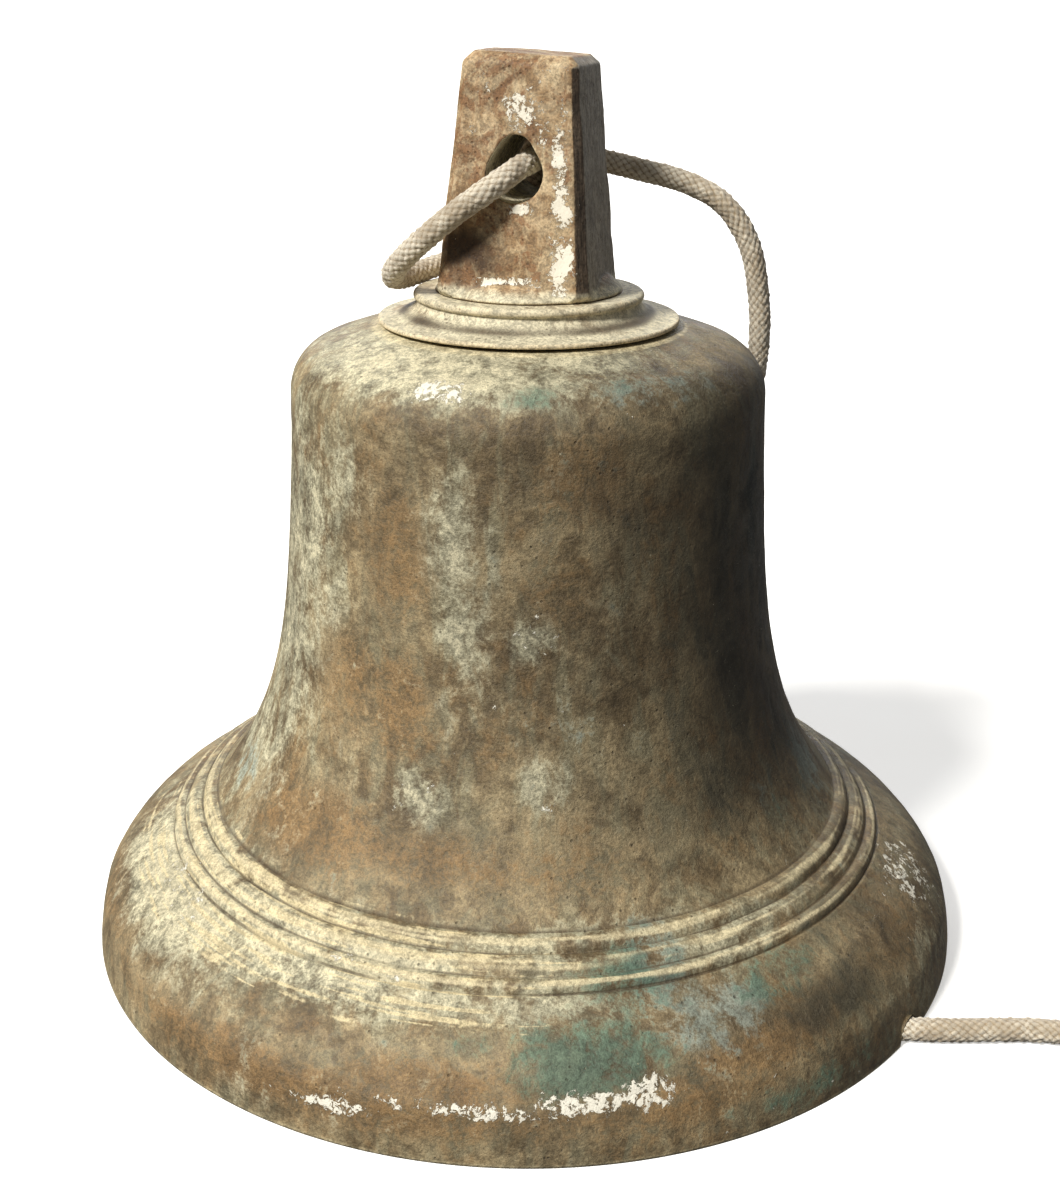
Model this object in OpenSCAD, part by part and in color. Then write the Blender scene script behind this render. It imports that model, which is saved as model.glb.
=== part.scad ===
// Ship's bell: a cast bronze shell, a separate crown collar and a hanger post whose stud passes
// down through the head and carries the clapper on a two-way link. A braided cotton rope is made
// fast through the post. Millimetres, +Z up, the mouth on the plane z = 0, the post's bore along Y.

/* [Bell shell] */
// Radius of the mouth at the rim
mouth_r = 140; // [136:1:144]
// Outer radius of the straight upper wall
wall_r = 71.2; // [69:0.5:73]
// Wall thickness of the waist
wall_t = 6.5; // [5:0.5:8]
// Extra thickness of the wall at the soundbow
bow_t = 14; // [8:1:16]
// Height of the flat seat on the head
seat_z = 193.4; // [192.5:0.1:194]
// Thickness of the head under the seat
head_t = 9; // [7:1:12]
// Height of each raised bead round the waist
bead_h = 1.1; // [0.6:0.1:1.6]

/* [Crown collar] */
// Radius of the collar's lower flange
flange_r = 44.75; // [43.5:0.25:46]
// Radius of the collar's upper bead
crown_bead_r = 34.2; // [33:0.2:35]
// Height of the collar
collar_h = 8.9; // [8:0.1:10]

/* [Hanger post] */
// Half width of the post at its foot
post_foot = 22.85; // [21:0.25:23]
// Half width of the post at its top
post_top = 16.5; // [15:0.25:18]
// Height of the post above the collar
post_h = 67.2; // [62:1:72]
// Radius of the round foot
foot_r = 27.8; // [26.5:0.1:28.5]
// Radius of the bore through the post
hole_r = 8; // [7.5:0.25:8.5]
// Radius of the worn notch at the top of the bore
wear_r = 5.2; // [4.5:0.1:6]

/* [Clapper] */
// Radius of the clapper ball
ball_r = 20; // [17:1:21]
// Height of the ball's centre
ball_z = 46; // [44:1:48]
// Radius of the hole in the lanyard eye
eye_r = 4; // [3:0.25:4.5]

/* [Rope] */
// Diameter of the braided rope
rope_d = 7; // [6:0.5:7]
// Mean diameter of the stored coil
coil_d = 76; // [74:1:80]

/* [Hidden] */
$fn = 96;
over = 0.01;

// Lip, soundbow and bead belt, from the rim upwards: angles are measured from the vertical
lip_arc_r = 62;
lip_a0 = 3.5;
lip_a1 = 17.6;
bow_arc_r = 43;
bow_a0 = 28;
bow_a1 = 56;
lip_cr = mouth_r - lip_arc_r * cos(lip_a0);
lip_cz = -lip_arc_r * sin(lip_a0);
lip_top = [lip_cr + lip_arc_r * cos(lip_a1), lip_cz + lip_arc_r * sin(lip_a1)];
bow_c = lip_top - bow_arc_r * [cos(bow_a0), sin(bow_a0)];
bow_top = bow_c + bow_arc_r * [cos(bow_a1), sin(bow_a1)];
step_d = 0.5;
belt_low = bow_top + [-step_d, 0.2];
belt_up = [-sin(bow_a1), cos(bow_a1)];
belt_out = [cos(bow_a1), sin(bow_a1)];
plain_w = 9.4;
bead_w = [4.4, 6.6, 5.6];
groove_w = 0.5;
belt_w = plain_w + bead_w[0] + bead_w[1] + bead_w[2] + 2 * groove_w;

// Waist: the flare dies away upwards into the straight wall
flare_z = (belt_low + belt_w * belt_up)[1];
flare_r = (belt_low + belt_w * belt_up)[0] - wall_r;
flare_k = 33.5;
shoulder_r = 15.3;
shoulder_z = 174;
shoulder_a = 70;
dome_a = 90 - shoulder_a;
shoulder_end = [wall_r - shoulder_r * (1 - cos(shoulder_a)), shoulder_z + shoulder_r * sin(shoulder_a)];
dome_r = shoulder_end[0] / sin(dome_a);
dome_cz = shoulder_end[1] - dome_r * cos(dome_a);
seat_r = sqrt(dome_r * dome_r - pow(seat_z - dome_cz, 2));

// Stud, washer and nuts under the head
stud_r = 9.5;
stud_hole_r = 9.8;
gasket_t = 1;
gasket_r = 42;
head_in_z = seat_z - head_t;
washer_t = 3.5;
washer_r = 24;
nut_h = 12;
nut_r = 17;
lock_h = 6;
nut_gap = 0.05;
washer_z = head_in_z - washer_t;
nut_z = washer_z - nut_h;
lock_z = nut_z - lock_h;
stud_end_z = lock_z + 0.2;
collar_z = seat_z + gasket_t;
post_z = collar_z + collar_h;
top_z = post_z + post_h;

// Post details
post_slope = (post_foot - post_top) / post_h;
corner_cut = 3.4;
top_corner_cut = 2;
top_bevel = 2.6;
hole_z = post_z + 34.9;
wear_up = 5.2;
wear_lean = asin((hole_r - wear_r) / wear_up);

// Clapper link: upper pin along X, lower pin along Y
pin_r = 4;
pin_clear = 0.05;
fork_r = 7.5;
tongue_t = 8;
slot_t = 8.4;
cheek_x = 9;
up_pin_z = lock_z - 8.9;
low_pin_z = up_pin_z - 20;
cheek_up = 8;
web_gap = 0.7;
tongue_r = 7;
pin_head_r = 6;
pin_head_t = 3;
pin_tail = 5;
split_r = 1;
split_l = 14;
rod_r = 4.5;
spigot_r = 5;
thread_r = 4;
ball_flat = 18;
rod_collar_r = 8;
rod_collar_h = 3;
ring_r = 7;
ring_t = 5;
ring_z = ball_z - ball_flat - 12.5;
neck_h = 6;

// Rope: the made-fast end behind the post, round its left side, through the bore, over the right
// shoulder, down the back, across the mouth and away to the coil, all at the centre of the rope
rope_r = rope_d / 2;
rope_sides = 10;
ring_gap = 16;
table_z = 3.6;
coil_at = [228, 2];
coil_h = 13.2;
coil_lift = 0.1;
tie_t = 1;
tie_w = 9;
tie_a = 60;
whip_r = 3.8;
whip_l = 12;
whip_a = -141;
knot_at = [3.4, 21, 239.4];
knot_l = 13;
knot_r = 10.4;
knot_round = 3;

rope_route = [
    [-3, 31, 236], [-5, 32.5, 226], [-11, 32, 216.5], [-21, 27, 209.8], [-31, 17, 207], [-37.5, 2, 205.3], [-38.8, -9, 206.2],
    [-35, -18.5, 211], [-26, -24, 219], [-15, -26, 227.8], [-5, -23.2, 235], [1, -14.5, 239.8], [2.5, -2, 241],
    [1.5, 17, 240], [4.5, 29, 239], [13, 36.2, 237.4], [25, 39, 234.6], [38, 40.5, 231.5], [50.5, 42, 225.5],
    [59, 44, 214], [63, 46, 198], [64, 48, 178], [61, 53, 158], [56.5, 57, 134], [51, 63.5, 106],
    [47, 76, 80], [42.5, 92.5, 57], [37.5, 110, 43.5], [31.5, 131, 27.5], [25, 148, 13.5], [14, 166, 4.5],
    [-1, 180, table_z], [-21, 183, table_z], [-35.5, 172, table_z], [-38, 147, table_z], [-32, 116, table_z],
    [-18, 68, table_z], [10, 13, table_z], [52, -34, table_z], [104, -58, table_z], [134, -54, table_z],
    [168, -46, table_z]
];

// From the last route point to the coil, where the rope joins the outer turn
lead_in = [[192, -45, table_z], [214, -43.5, table_z], [228, -41, table_z]];

// Points of an arc about c in the r-z plane, from angle a0 to a1
function arc_points(c, r, a0, a1, n) = [for (i = [0:n]) c + r * [cos(a0 + (a1 - a0) * i / n), sin(a0 + (a1 - a0) * i / n)]];

// Points of an ellipse about c with half axes rx and rz
function oval_points(c, rx, rz, a0, a1, n) =
    [for (i = [0:n]) c + [rx * cos(a0 + (a1 - a0) * i / n), rz * sin(a0 + (a1 - a0) * i / n)]];

// Points of one raised bead that starts s along the belt and is w wide
function bead_points(s, w, n) = [
    for (i = [0:n])
        belt_low + (s + w * i / n) * belt_up + bead_h * 4 * (i / n) * (1 - i / n) * belt_out
];

// Outer radius of the plain flare and wall at height z
function waist_r(z) = wall_r + flare_r * exp(-(z - flare_z) / flare_k);

// Outer radius below the beads, without the mouldings
function lip_r(z) =
    z < lip_top[1] ? lip_cr + sqrt(pow(lip_arc_r, 2) - pow(z - lip_cz, 2)) :
    z < bow_top[1] ? bow_c[0] + sqrt(pow(bow_arc_r, 2) - pow(z - bow_c[1], 2)) :
    z < flare_z ? bow_top[0] - (z - bow_top[1]) * (bow_top[0] - wall_r - flare_r) / (flare_z - bow_top[1]) :
    waist_r(z);

// Inner radius at height z: thick at the soundbow, thin in the waist
bow_mid_z = 20;
bow_spread = 24;
function inner_r(z) = lip_r(z) - wall_t - bow_t * exp(-pow((z - bow_mid_z) / bow_spread, 2));

inner_top = 160;
inner_round = [inner_r(inner_top) - 24, head_in_z];
waist_steps = 40;
inner_steps = 44;

function shell_outline() = concat(
    arc_points([lip_cr, lip_cz], lip_arc_r, lip_a0, lip_a1, 6),
    arc_points(bow_c, bow_arc_r, bow_a0, bow_a1, 10),
    [belt_low, belt_low + plain_w * belt_up],
    [belt_low + plain_w * belt_up - 0.7 * belt_out],
    bead_points(plain_w + groove_w, bead_w[0], 8),
    bead_points(plain_w + groove_w + bead_w[0], bead_w[1], 10),
    [belt_low + (plain_w + groove_w + bead_w[0] + bead_w[1]) * belt_up - 0.5 * belt_out],
    bead_points(plain_w + 2 * groove_w + bead_w[0] + bead_w[1], bead_w[2], 8),
    [for (i = [1:waist_steps]) let (z = flare_z + (shoulder_z - flare_z) * i / (waist_steps + 1)) [waist_r(z), z]],
    arc_points([wall_r - shoulder_r, shoulder_z], shoulder_r, 0, shoulder_a, 12),
    arc_points([0, dome_cz], dome_r, shoulder_a + 1, 90 - asin(seat_r / dome_r), 4),
    [[stud_hole_r, seat_z], [stud_hole_r, head_in_z]],
    oval_points([inner_round[0], inner_top], 24, head_in_z - inner_top, 90, 0, 12),
    [for (i = [1:inner_steps]) let (z = inner_top * (1 - i / inner_steps)) [inner_r(z), z]]
);

// The straight run of the rope that passes under the rim, cut out of the rim as a worn hollow
module rim_hollow(at, towards) {
    run = towards - at;
    hollow_r = rope_r + 0.5;
    translate([at[0], at[1], 0])
        rotate([0, 0, atan2(run[1], run[0])])
            translate([-4, 0, 0]) {
                translate([0, 0, table_z])
                    rotate([0, 90, 0])
                        cylinder(r = hollow_r, h = norm(run) + 8, $fn = 48);
                translate([0, -hollow_r, -1])
                    cube([norm(run) + 8, 2 * hollow_r, table_z + 1]);
            }
}

module bell_shell() {
    color("#7d6a48")
        difference() {
            rotate_extrude($fn = 180)
                polygon(shell_outline());
            rim_hollow([-38, 147], [-32, 116]);
            rim_hollow([104, -58], [134, -54]);
        }
}

module crown_collar() {
    edge_z = collar_z + 1.2;
    cove_c = [flange_r - 0.3, collar_z + 7];
    bead_c = [crown_bead_r - 1.3, post_z - 1.3];
    color("#8a7a58")
        rotate_extrude($fn = 144)
            polygon(concat(
                [[stud_hole_r, collar_z], [flange_r - 0.5, collar_z], [flange_r, collar_z + 0.5], [flange_r, edge_z]],
                oval_points(cove_c, cove_c[0] - bead_c[0], cove_c[1] - edge_z - 0.2, 270, 185, 12),
                arc_points(bead_c, 1.3, -70, 90, 8),
                [[stud_hole_r, post_z]]
            ));
}

module seat_gasket() {
    color("#2b241c")
        translate([0, 0, seat_z])
            difference() {
                cylinder(r = gasket_r, h = gasket_t);
                translate([0, 0, -1])
                    cylinder(r = stud_hole_r, h = gasket_t + 2);
            }
}

// A square pyramid stump as seen from one side, with its top edges bevelled
module post_side(foot, top, bevel) {
    rotate([90, 0, 0])
        linear_extrude(height = 4 * foot, center = true)
            polygon([[-foot, 0], [foot, 0], [top + post_slope * bevel, post_h - bevel],
                     [top - bevel, post_h], [bevel - top, post_h], [-top - post_slope * bevel, post_h - bevel]]);
}

// Post, round foot, bore worn upwards into an egg shape, stud and tongue in one casting
module hanger_post() {
    diag_foot = (2 * post_foot - corner_cut) / sqrt(2);
    diag_top = (2 * post_top - top_corner_cut) / sqrt(2);
    foot_rise = 4.6;
    color("#8c7350")
        difference() {
            union() {
                translate([0, 0, post_z])
                    intersection() {
                        post_side(post_foot, post_top, top_bevel);
                        rotate([0, 0, 90]) post_side(post_foot, post_top, top_bevel);
                        rotate([0, 0, 45]) post_side(diag_foot, diag_top, top_bevel);
                        rotate([0, 0, 135]) post_side(diag_foot, diag_top, top_bevel);
                        cylinder(r1 = foot_r, r2 = foot_r + post_h, h = post_h);
                    }
                translate([0, 0, post_z])
                    rotate_extrude()
                        polygon([[0, 0], [foot_r, 0], [foot_r, 0.8], [foot_r - 1.2, 2], [foot_r - 4.3, foot_rise],
                                 [0, foot_rise]]);
                translate([0, 0, stud_end_z])
                    cylinder(r = stud_r, h = post_z - stud_end_z + 1);
                translate([-tongue_t / 2, -tongue_r, up_pin_z])
                    cube([tongue_t, 2 * tongue_r, stud_end_z - up_pin_z + 1]);
                translate([-tongue_t / 2, 0, up_pin_z])
                    rotate([0, 90, 0])
                        cylinder(r = tongue_r, h = tongue_t);
            }
            translate([0, 0, hole_z])
                rotate([90, 0, 0]) {
                    cylinder(r = hole_r, h = 4 * post_foot, center = true);
                    translate([0, wear_up, 0])
                        cylinder(r = wear_r, h = 4 * post_foot, center = true);
                    linear_extrude(height = 4 * post_foot, center = true)
                        polygon([[-hole_r * cos(wear_lean), hole_r * sin(wear_lean)],
                                 [hole_r * cos(wear_lean), hole_r * sin(wear_lean)],
                                 [wear_r * cos(wear_lean), wear_up + wear_r * sin(wear_lean)],
                                 [-wear_r * cos(wear_lean), wear_up + wear_r * sin(wear_lean)]]);
                }
            translate([-tongue_t, 0, up_pin_z])
                rotate([0, 90, 0])
                    cylinder(r = pin_r + pin_clear, h = 2 * tongue_t);
        }
}

module stud_washer() {
    color("#5b4a3a")
        translate([0, 0, washer_z])
            difference() {
                cylinder(r = washer_r, h = washer_t);
                translate([0, 0, -1])
                    cylinder(r = stud_hole_r, h = washer_t + 2);
            }
}

// A hexagon nut with bevelled corners
module hex_nut(z, h) {
    translate([0, 0, z])
        difference() {
            intersection() {
                cylinder(r = nut_r, h = h, $fn = 6);
                cylinder(r1 = nut_r * 0.92, r2 = nut_r * 0.92 + h, h = h);
                cylinder(r1 = nut_r * 0.92 + h, r2 = nut_r * 0.92, h = h);
            }
            translate([0, 0, -1])
                cylinder(r = stud_r + nut_gap, h = h + 2);
        }
}

module stud_nut() {
    color("#5b4a3a") hex_nut(nut_z, nut_h);
}

module lock_nut() {
    color("#5b4a3a")
        rotate([0, 0, 17])
            hex_nut(lock_z, lock_h);
}

// One fork of the link, opening upwards, about a pin along X at the origin
module fork(reach, crown) {
    difference() {
        union() {
            translate([-cheek_x, 0, 0])
                rotate([0, 90, 0])
                    cylinder(r = fork_r, h = 2 * cheek_x);
            translate([-cheek_x, -fork_r, -reach])
                cube([2 * cheek_x, 2 * fork_r, reach + crown]);
        }
        translate([-slot_t / 2, -2 * fork_r, -fork_r - web_gap])
            cube([slot_t, 4 * fork_r, 3 * fork_r]);
        translate([-2 * cheek_x, 0, 0])
            rotate([0, 90, 0])
                cylinder(r = pin_r, h = 4 * cheek_x);
    }
}

module clapper_link() {
    half = (up_pin_z - low_pin_z) / 2;
    color("#4d4237") {
        translate([0, 0, up_pin_z])
            fork(half, cheek_up);
        translate([0, 0, low_pin_z])
            rotate([180, 0, 90])
                fork(half, 0);
    }
}

// A headed pin along X with a cross hole for its split pin
module clevis_pin() {
    tail_x = cheek_x + pin_tail;
    difference() {
        union() {
            translate([-cheek_x - pin_head_t, 0, 0])
                rotate([0, 90, 0])
                    cylinder(r = pin_head_r, h = pin_head_t);
            translate([-cheek_x - 1, 0, 0])
                rotate([0, 90, 0])
                    cylinder(r = pin_r, h = cheek_x + 1 + tail_x);
        }
        translate([cheek_x + split_r + 0.6, 0, -pin_head_r])
            cylinder(r = split_r, h = 2 * pin_head_r, $fn = 32);
    }
}

// A split pin along Z: a ring eye above and its two legs together in one shank
module split_pin() {
    eye_ring_r = 1.6;
    translate([cheek_x + split_r + 0.6, 0, 0]) {
        translate([0, 0, -split_l / 2])
            cylinder(r = split_r, h = split_l, $fn = 32);
        translate([0, 0, split_l / 2 + eye_ring_r - 0.3])
            rotate([0, 90, 0])
                rotate_extrude($fn = 32)
                    translate([eye_ring_r, 0])
                        circle(r = 0.7, $fn = 16);
    }
}

module upper_pin() {
    color("#6a6056")
        translate([0, 0, up_pin_z])
            clevis_pin();
}

// The upper split pin has its eye below, clear of the lock nut
module upper_split_pin() {
    color("#8a7f70")
        translate([0, 0, up_pin_z])
            rotate([180, 0, 0])
                split_pin();
}

module lower_pin() {
    color("#6a6056")
        translate([0, 0, low_pin_z])
            rotate([0, 0, 90])
                clevis_pin();
}

module lower_split_pin() {
    color("#8a7f70")
        translate([0, 0, low_pin_z])
            rotate([0, 0, 90])
                split_pin();
}

// Flat eye, round shank, collar above the ball, spigot through it and a thread for the eye nut
module clapper_rod() {
    flat_w = 9;
    flat_drop = 10;
    ball_top = ball_z + ball_flat;
    ball_low = ball_z - ball_flat;
    color("#4d4237")
        difference() {
            union() {
                translate([0, tongue_t / 2, low_pin_z])
                    rotate([90, 0, 0])
                        cylinder(r = fork_r, h = tongue_t);
                translate([-flat_w / 2, -tongue_t / 2, low_pin_z - flat_drop - 2])
                    cube([flat_w, tongue_t, flat_drop + 2]);
                translate([0, 0, ball_top])
                    cylinder(r1 = rod_r + 1, r2 = rod_r, h = low_pin_z - flat_drop - ball_top);
                translate([0, 0, ball_top])
                    cylinder(r = rod_collar_r, h = rod_collar_h);
                translate([0, 0, ball_low])
                    cylinder(r = spigot_r, h = 2 * ball_flat + 1);
                translate([0, 0, ball_low - neck_h + 1])
                    cylinder(r = thread_r, h = neck_h);
            }
            translate([0, tongue_t, low_pin_z])
                rotate([90, 0, 0])
                    cylinder(r = pin_r + pin_clear, h = 2 * tongue_t);
        }
}

module clapper_ball() {
    color("#6f5b3c")
        translate([0, 0, ball_z])
            difference() {
                intersection() {
                    sphere(r = ball_r);
                    translate([0, 0, -ball_flat])
                        cylinder(r = ball_r + 1, h = 2 * ball_flat);
                }
                translate([0, 0, -ball_r])
                    cylinder(r = spigot_r, h = 2 * ball_r);
            }
}

// Round nut under the ball with a ring eye for the lanyard, its hole along Y
module lanyard_eye() {
    ball_low = ball_z - ball_flat;
    color("#6f5b3c")
        difference() {
            union() {
                translate([0, 0, ball_low - neck_h])
                    cylinder(r = ring_r, h = neck_h);
                translate([-ring_t / 2 - 1, -ring_t / 2, ring_z])
                    cube([ring_t + 2, ring_t, ball_low - ring_z - 1]);
                translate([0, ring_t / 2, ring_z])
                    rotate([90, 0, 0])
                        cylinder(r = ring_r, h = ring_t);
            }
            translate([0, ring_t, ring_z])
                rotate([90, 0, 0])
                    cylinder(r = eye_r, h = 2 * ring_t);
            translate([0, 0, ball_low - neck_h + 1])
                cylinder(r = thread_r, h = neck_h);
        }
}

// Length of the step after point i, and the smooth heading of the route at point i
function gap(p, i) = norm(p[i + 1] - p[i]);
function heading(p, i) =
    i == 0 ? (p[1] - p[0]) / gap(p, 0) :
    i == len(p) - 1 ? (p[i] - p[i - 1]) / gap(p, i - 1) :
    ((p[i + 1] - p[i]) * gap(p, i - 1) / gap(p, i) + (p[i] - p[i - 1]) * gap(p, i) / gap(p, i - 1))
        / (gap(p, i - 1) + gap(p, i));

// A point of the smooth curve between route points i and i + 1, and the whole curve in short steps
function eased(p, i, t) =
    (2 * t * t * t - 3 * t * t + 1) * p[i] + (t * t * t - 2 * t * t + t) * gap(p, i) * heading(p, i)
        + (3 * t * t - 2 * t * t * t) * p[i + 1] + (t * t * t - t * t) * gap(p, i) * heading(p, i + 1);
function smoothed(p) = concat(
    [for (i = [0:len(p) - 2]) let (n = max(1, round(gap(p, i) / ring_gap))) for (k = [0:n - 1]) eased(p, i, k / n)],
    [p[len(p) - 1]]
);

// Unit direction of the route at point i, and a side vector carried along it without twisting
function unit(v) = v / norm(v);
function along(p, i) = unit(p[min(i + 1, len(p) - 1)] - p[max(i - 1, 0)]);
function squared(u, t) = unit(u - (u * t) * t);
function side_vectors(p) = [
    for (i = 0, u = squared([1, 0.2, 0], along(p, 0)); i < len(p); i = i + 1, u = squared(u, along(p, i)))
        u
];

// A round tube swept along the points p
module tube(p, r) {
    n = rope_sides;
    side = side_vectors(p);
    rings = [
        for (i = [0:len(p) - 1])
            let (v = cross(side[i], along(p, i)))
                for (k = [0:n - 1]) p[i] + r * (cos(360 * k / n) * side[i] + sin(360 * k / n) * v)
    ];
    walls = [
        for (i = [0:len(p) - 2])
            for (k = [0:n - 1])
                [i * n + k, i * n + (k + 1) % n, (i + 1) * n + (k + 1) % n, (i + 1) * n + k]
    ];
    first_cap = [for (k = [n - 1:-1:0]) k];
    last_cap = [for (k = [0:n - 1]) (len(p) - 1) * n + k];
    polyhedron(points = rings, faces = concat([first_cap], walls, [last_cap]));
}

module rope() {
    color("#cfc4ac")
        tube(smoothed(concat(rope_route, lead_in)), rope_r);
}

// Two turns of the rope's other end round the standing part, jammed against the back of the post
module rope_knot() {
    color("#c9bda3")
        translate(knot_at)
            rotate([-90, 0, 0])
                rotate_extrude($fn = 64)
                    polygon(concat(
                        [[0, 0]],
                        arc_points([knot_r - knot_round, knot_round], knot_round, -90, 0, 6),
                        arc_points([knot_r - knot_round, knot_l - knot_round], knot_round, 0, 90, 6),
                        [[0, knot_l]]
                    ));
}

// Three turns: two side by side on the surface and one lying on top of them
module rope_coil() {
    inner = coil_d / 2 - rope_d;
    outer = coil_d / 2 + rope_d;
    color("#cfc4ac")
        translate([coil_at[0], coil_at[1], coil_lift])
            rotate_extrude($fn = 72)
                polygon([[inner, 2], [inner + 2, 0], [outer - 2, 0], [outer, 2], [outer, 5], [outer - 3.5, 7],
                         [outer - 3.5, coil_h - 2], [outer - 5.5, coil_h], [inner + 5.5, coil_h],
                         [inner + 3.5, coil_h - 2], [inner + 3.5, 7], [inner, 5]]);
}

// A twine band that binds the turns together at one place
module coil_tie() {
    mid = coil_h / 2;
    reach = coil_h / 2 + coil_lift - 0.05;
    color("#b8ab90")
        translate([coil_at[0], coil_at[1], coil_lift + mid])
            rotate([0, 0, tie_a])
                translate([coil_d / 2, 0, 0])
                    rotate([90, 0, 0])
                        difference() {
                            intersection() {
                                cylinder(r = rope_d + tie_t, h = tie_w, center = true);
                                translate([-coil_h, -reach, -tie_w])
                                    cube([2 * coil_h, reach + mid + tie_t, 2 * tie_w]);
                            }
                            cylinder(r = rope_d - tie_t, h = 2 * tie_w, center = true);
                        }
}

// The rope's whipped free end, lying along the top turn
module rope_whipping() {
    color("#b8ab90")
        translate([coil_at[0], coil_at[1], coil_lift + coil_h - rope_r])
            rotate([0, 0, whip_a])
                translate([coil_d / 2, 0, 0])
                    rotate([90, 0, 0])
                        cylinder(r = whip_r, h = whip_l, center = true);
}

bell_shell();
crown_collar();
seat_gasket();
hanger_post();
stud_washer();
stud_nut();
lock_nut();
clapper_link();
upper_pin();
upper_split_pin();
lower_pin();
lower_split_pin();
clapper_rod();
clapper_ball();
lanyard_eye();
rope();
rope_knot();
rope_coil();
coil_tie();
rope_whipping();
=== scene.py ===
import math

import bmesh
import bpy
import numpy as np
from mathutils import Euler, Matrix


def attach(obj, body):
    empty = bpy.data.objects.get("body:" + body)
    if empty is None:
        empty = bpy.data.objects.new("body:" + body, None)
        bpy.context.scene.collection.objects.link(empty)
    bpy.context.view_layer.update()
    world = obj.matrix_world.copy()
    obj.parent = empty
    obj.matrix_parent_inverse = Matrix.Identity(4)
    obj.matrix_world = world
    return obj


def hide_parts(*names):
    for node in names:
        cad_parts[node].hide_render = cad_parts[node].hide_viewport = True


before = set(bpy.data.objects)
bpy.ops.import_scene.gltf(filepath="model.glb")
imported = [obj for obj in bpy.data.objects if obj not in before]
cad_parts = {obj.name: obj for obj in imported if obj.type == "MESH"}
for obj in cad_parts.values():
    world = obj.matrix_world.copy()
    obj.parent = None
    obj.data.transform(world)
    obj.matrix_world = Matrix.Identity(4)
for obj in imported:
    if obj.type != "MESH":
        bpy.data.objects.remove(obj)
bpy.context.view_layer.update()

MM = 0.001
FACING = -76.3  # azimuth of the side that the camera sees, in degrees


# ---------------------------------------------------------------- camera and lights

def make_camera():
    """The photo's viewpoint, fitted to the ellipses of the bell's mouth and seat."""
    data = bpy.data.cameras.new("camera")
    data.lens = 48.0
    data.sensor_width = 36.0
    data.sensor_fit = "AUTO"
    data.shift_x = 0.00258
    data.clip_end = 3000
    cam = bpy.data.objects.new("camera", data)
    bpy.context.scene.collection.objects.link(cam)
    turn = Matrix.Rotation(math.radians(13.66), 4, "Z")
    tilt = Matrix.Rotation(math.radians(69.14), 4, "X")
    roll = Matrix.Rotation(math.radians(0.391), 4, "Z")
    cam.matrix_world = Matrix.Translation((0.1123, -0.46205, 0.28587)) @ turn @ tilt @ roll
    bpy.context.scene.camera = cam


def make_sun(name, from_azimuth, elevation, strength, spread, tint=(1, 1, 1)):
    """A broad sun that shines from a row azimuth and an elevation, in degrees."""
    data = bpy.data.lights.new(name, "SUN")
    data.energy = strength
    data.angle = math.radians(spread)
    data.color = tint
    lamp = bpy.data.objects.new(name, data)
    lamp.rotation_euler = Euler((math.radians(90 - elevation), 0, math.radians(from_azimuth + 90)))
    bpy.context.scene.collection.objects.link(lamp)


make_camera()
make_sun("key", FACING - 48, 44, 5.0, 14, (1.0, 0.985, 0.955))
make_sun("fill", 104, 24, 1.5, 60, (0.97, 0.98, 1.0))
world = bpy.data.worlds.new("studio")
world.use_nodes = True
world.node_tree.nodes["Background"].inputs[0].default_value = (0.95, 0.97, 1.0, 1)
world.node_tree.nodes["Background"].inputs[1].default_value = 0.19
bpy.context.scene.world = world
bpy.context.scene.view_settings.view_transform = "Standard"


# ---------------------------------------------------------------- noise and mesh helpers

def lattice(points, size, seed):
    """Smooth value noise in -1..1 at points in mm, with features of the given size."""
    table = np.random.default_rng(seed).uniform(-1, 1, (48, 48, 48))
    q = points / size + seed * 3.7
    cell = np.floor(q).astype(int)
    f = q - cell
    f = f * f * (3 - 2 * f)
    total = np.zeros(len(points))
    for dx in (0, 1):
        wx = f[:, 0] if dx else 1 - f[:, 0]
        for dy in (0, 1):
            wy = f[:, 1] if dy else 1 - f[:, 1]
            for dz in (0, 1):
                wz = f[:, 2] if dz else 1 - f[:, 2]
                x, y, z = ((cell + (dx, dy, dz)) % 48).T
                total += wx * wy * wz * table[x, y, z]
    return total


def smooth(x, low, high):
    """An eased step from 0 at low to 1 at high."""
    t = np.clip((x - low) / (high - low), 0, 1)
    return t * t * (3 - 2 * t)


def half_turn(degrees):
    """The same angle between -180 and 180."""
    return (degrees + 180) % 360 - 180


def mesh_from(name, verts_mm, faces):
    """An object in metres from vertices in millimetres and an array of faces."""
    mesh = bpy.data.meshes.new(name)
    faces = np.asarray(faces)
    count, corners = faces.shape
    mesh.vertices.add(len(verts_mm))
    mesh.vertices.foreach_set("co", (np.asarray(verts_mm) * MM).astype(np.float32).ravel())
    mesh.loops.add(count * corners)
    mesh.loops.foreach_set("vertex_index", faces.astype(np.int32).ravel())
    mesh.polygons.add(count)
    mesh.polygons.foreach_set("loop_start", np.arange(0, count * corners, corners, dtype=np.int32))
    mesh.update(calc_edges=True)
    mesh.validate()
    mesh.polygons.foreach_set("use_smooth", np.ones(len(mesh.polygons), dtype=bool))
    obj = bpy.data.objects.new(name, mesh)
    bpy.context.scene.collection.objects.link(obj)
    return obj


def coords(mesh):
    out = np.empty(len(mesh.vertices) * 3, dtype=np.float32)
    mesh.vertices.foreach_get("co", out)
    return out.reshape(-1, 3).astype(float) / MM


def set_coords(mesh, verts_mm):
    mesh.vertices.foreach_set("co", (verts_mm * MM).astype(np.float32).ravel())
    mesh.update()


def normals(mesh):
    out = np.empty(len(mesh.vertices) * 3, dtype=np.float32)
    mesh.vertex_normals.foreach_get("vector", out)
    return out.reshape(-1, 3).astype(float)


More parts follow.
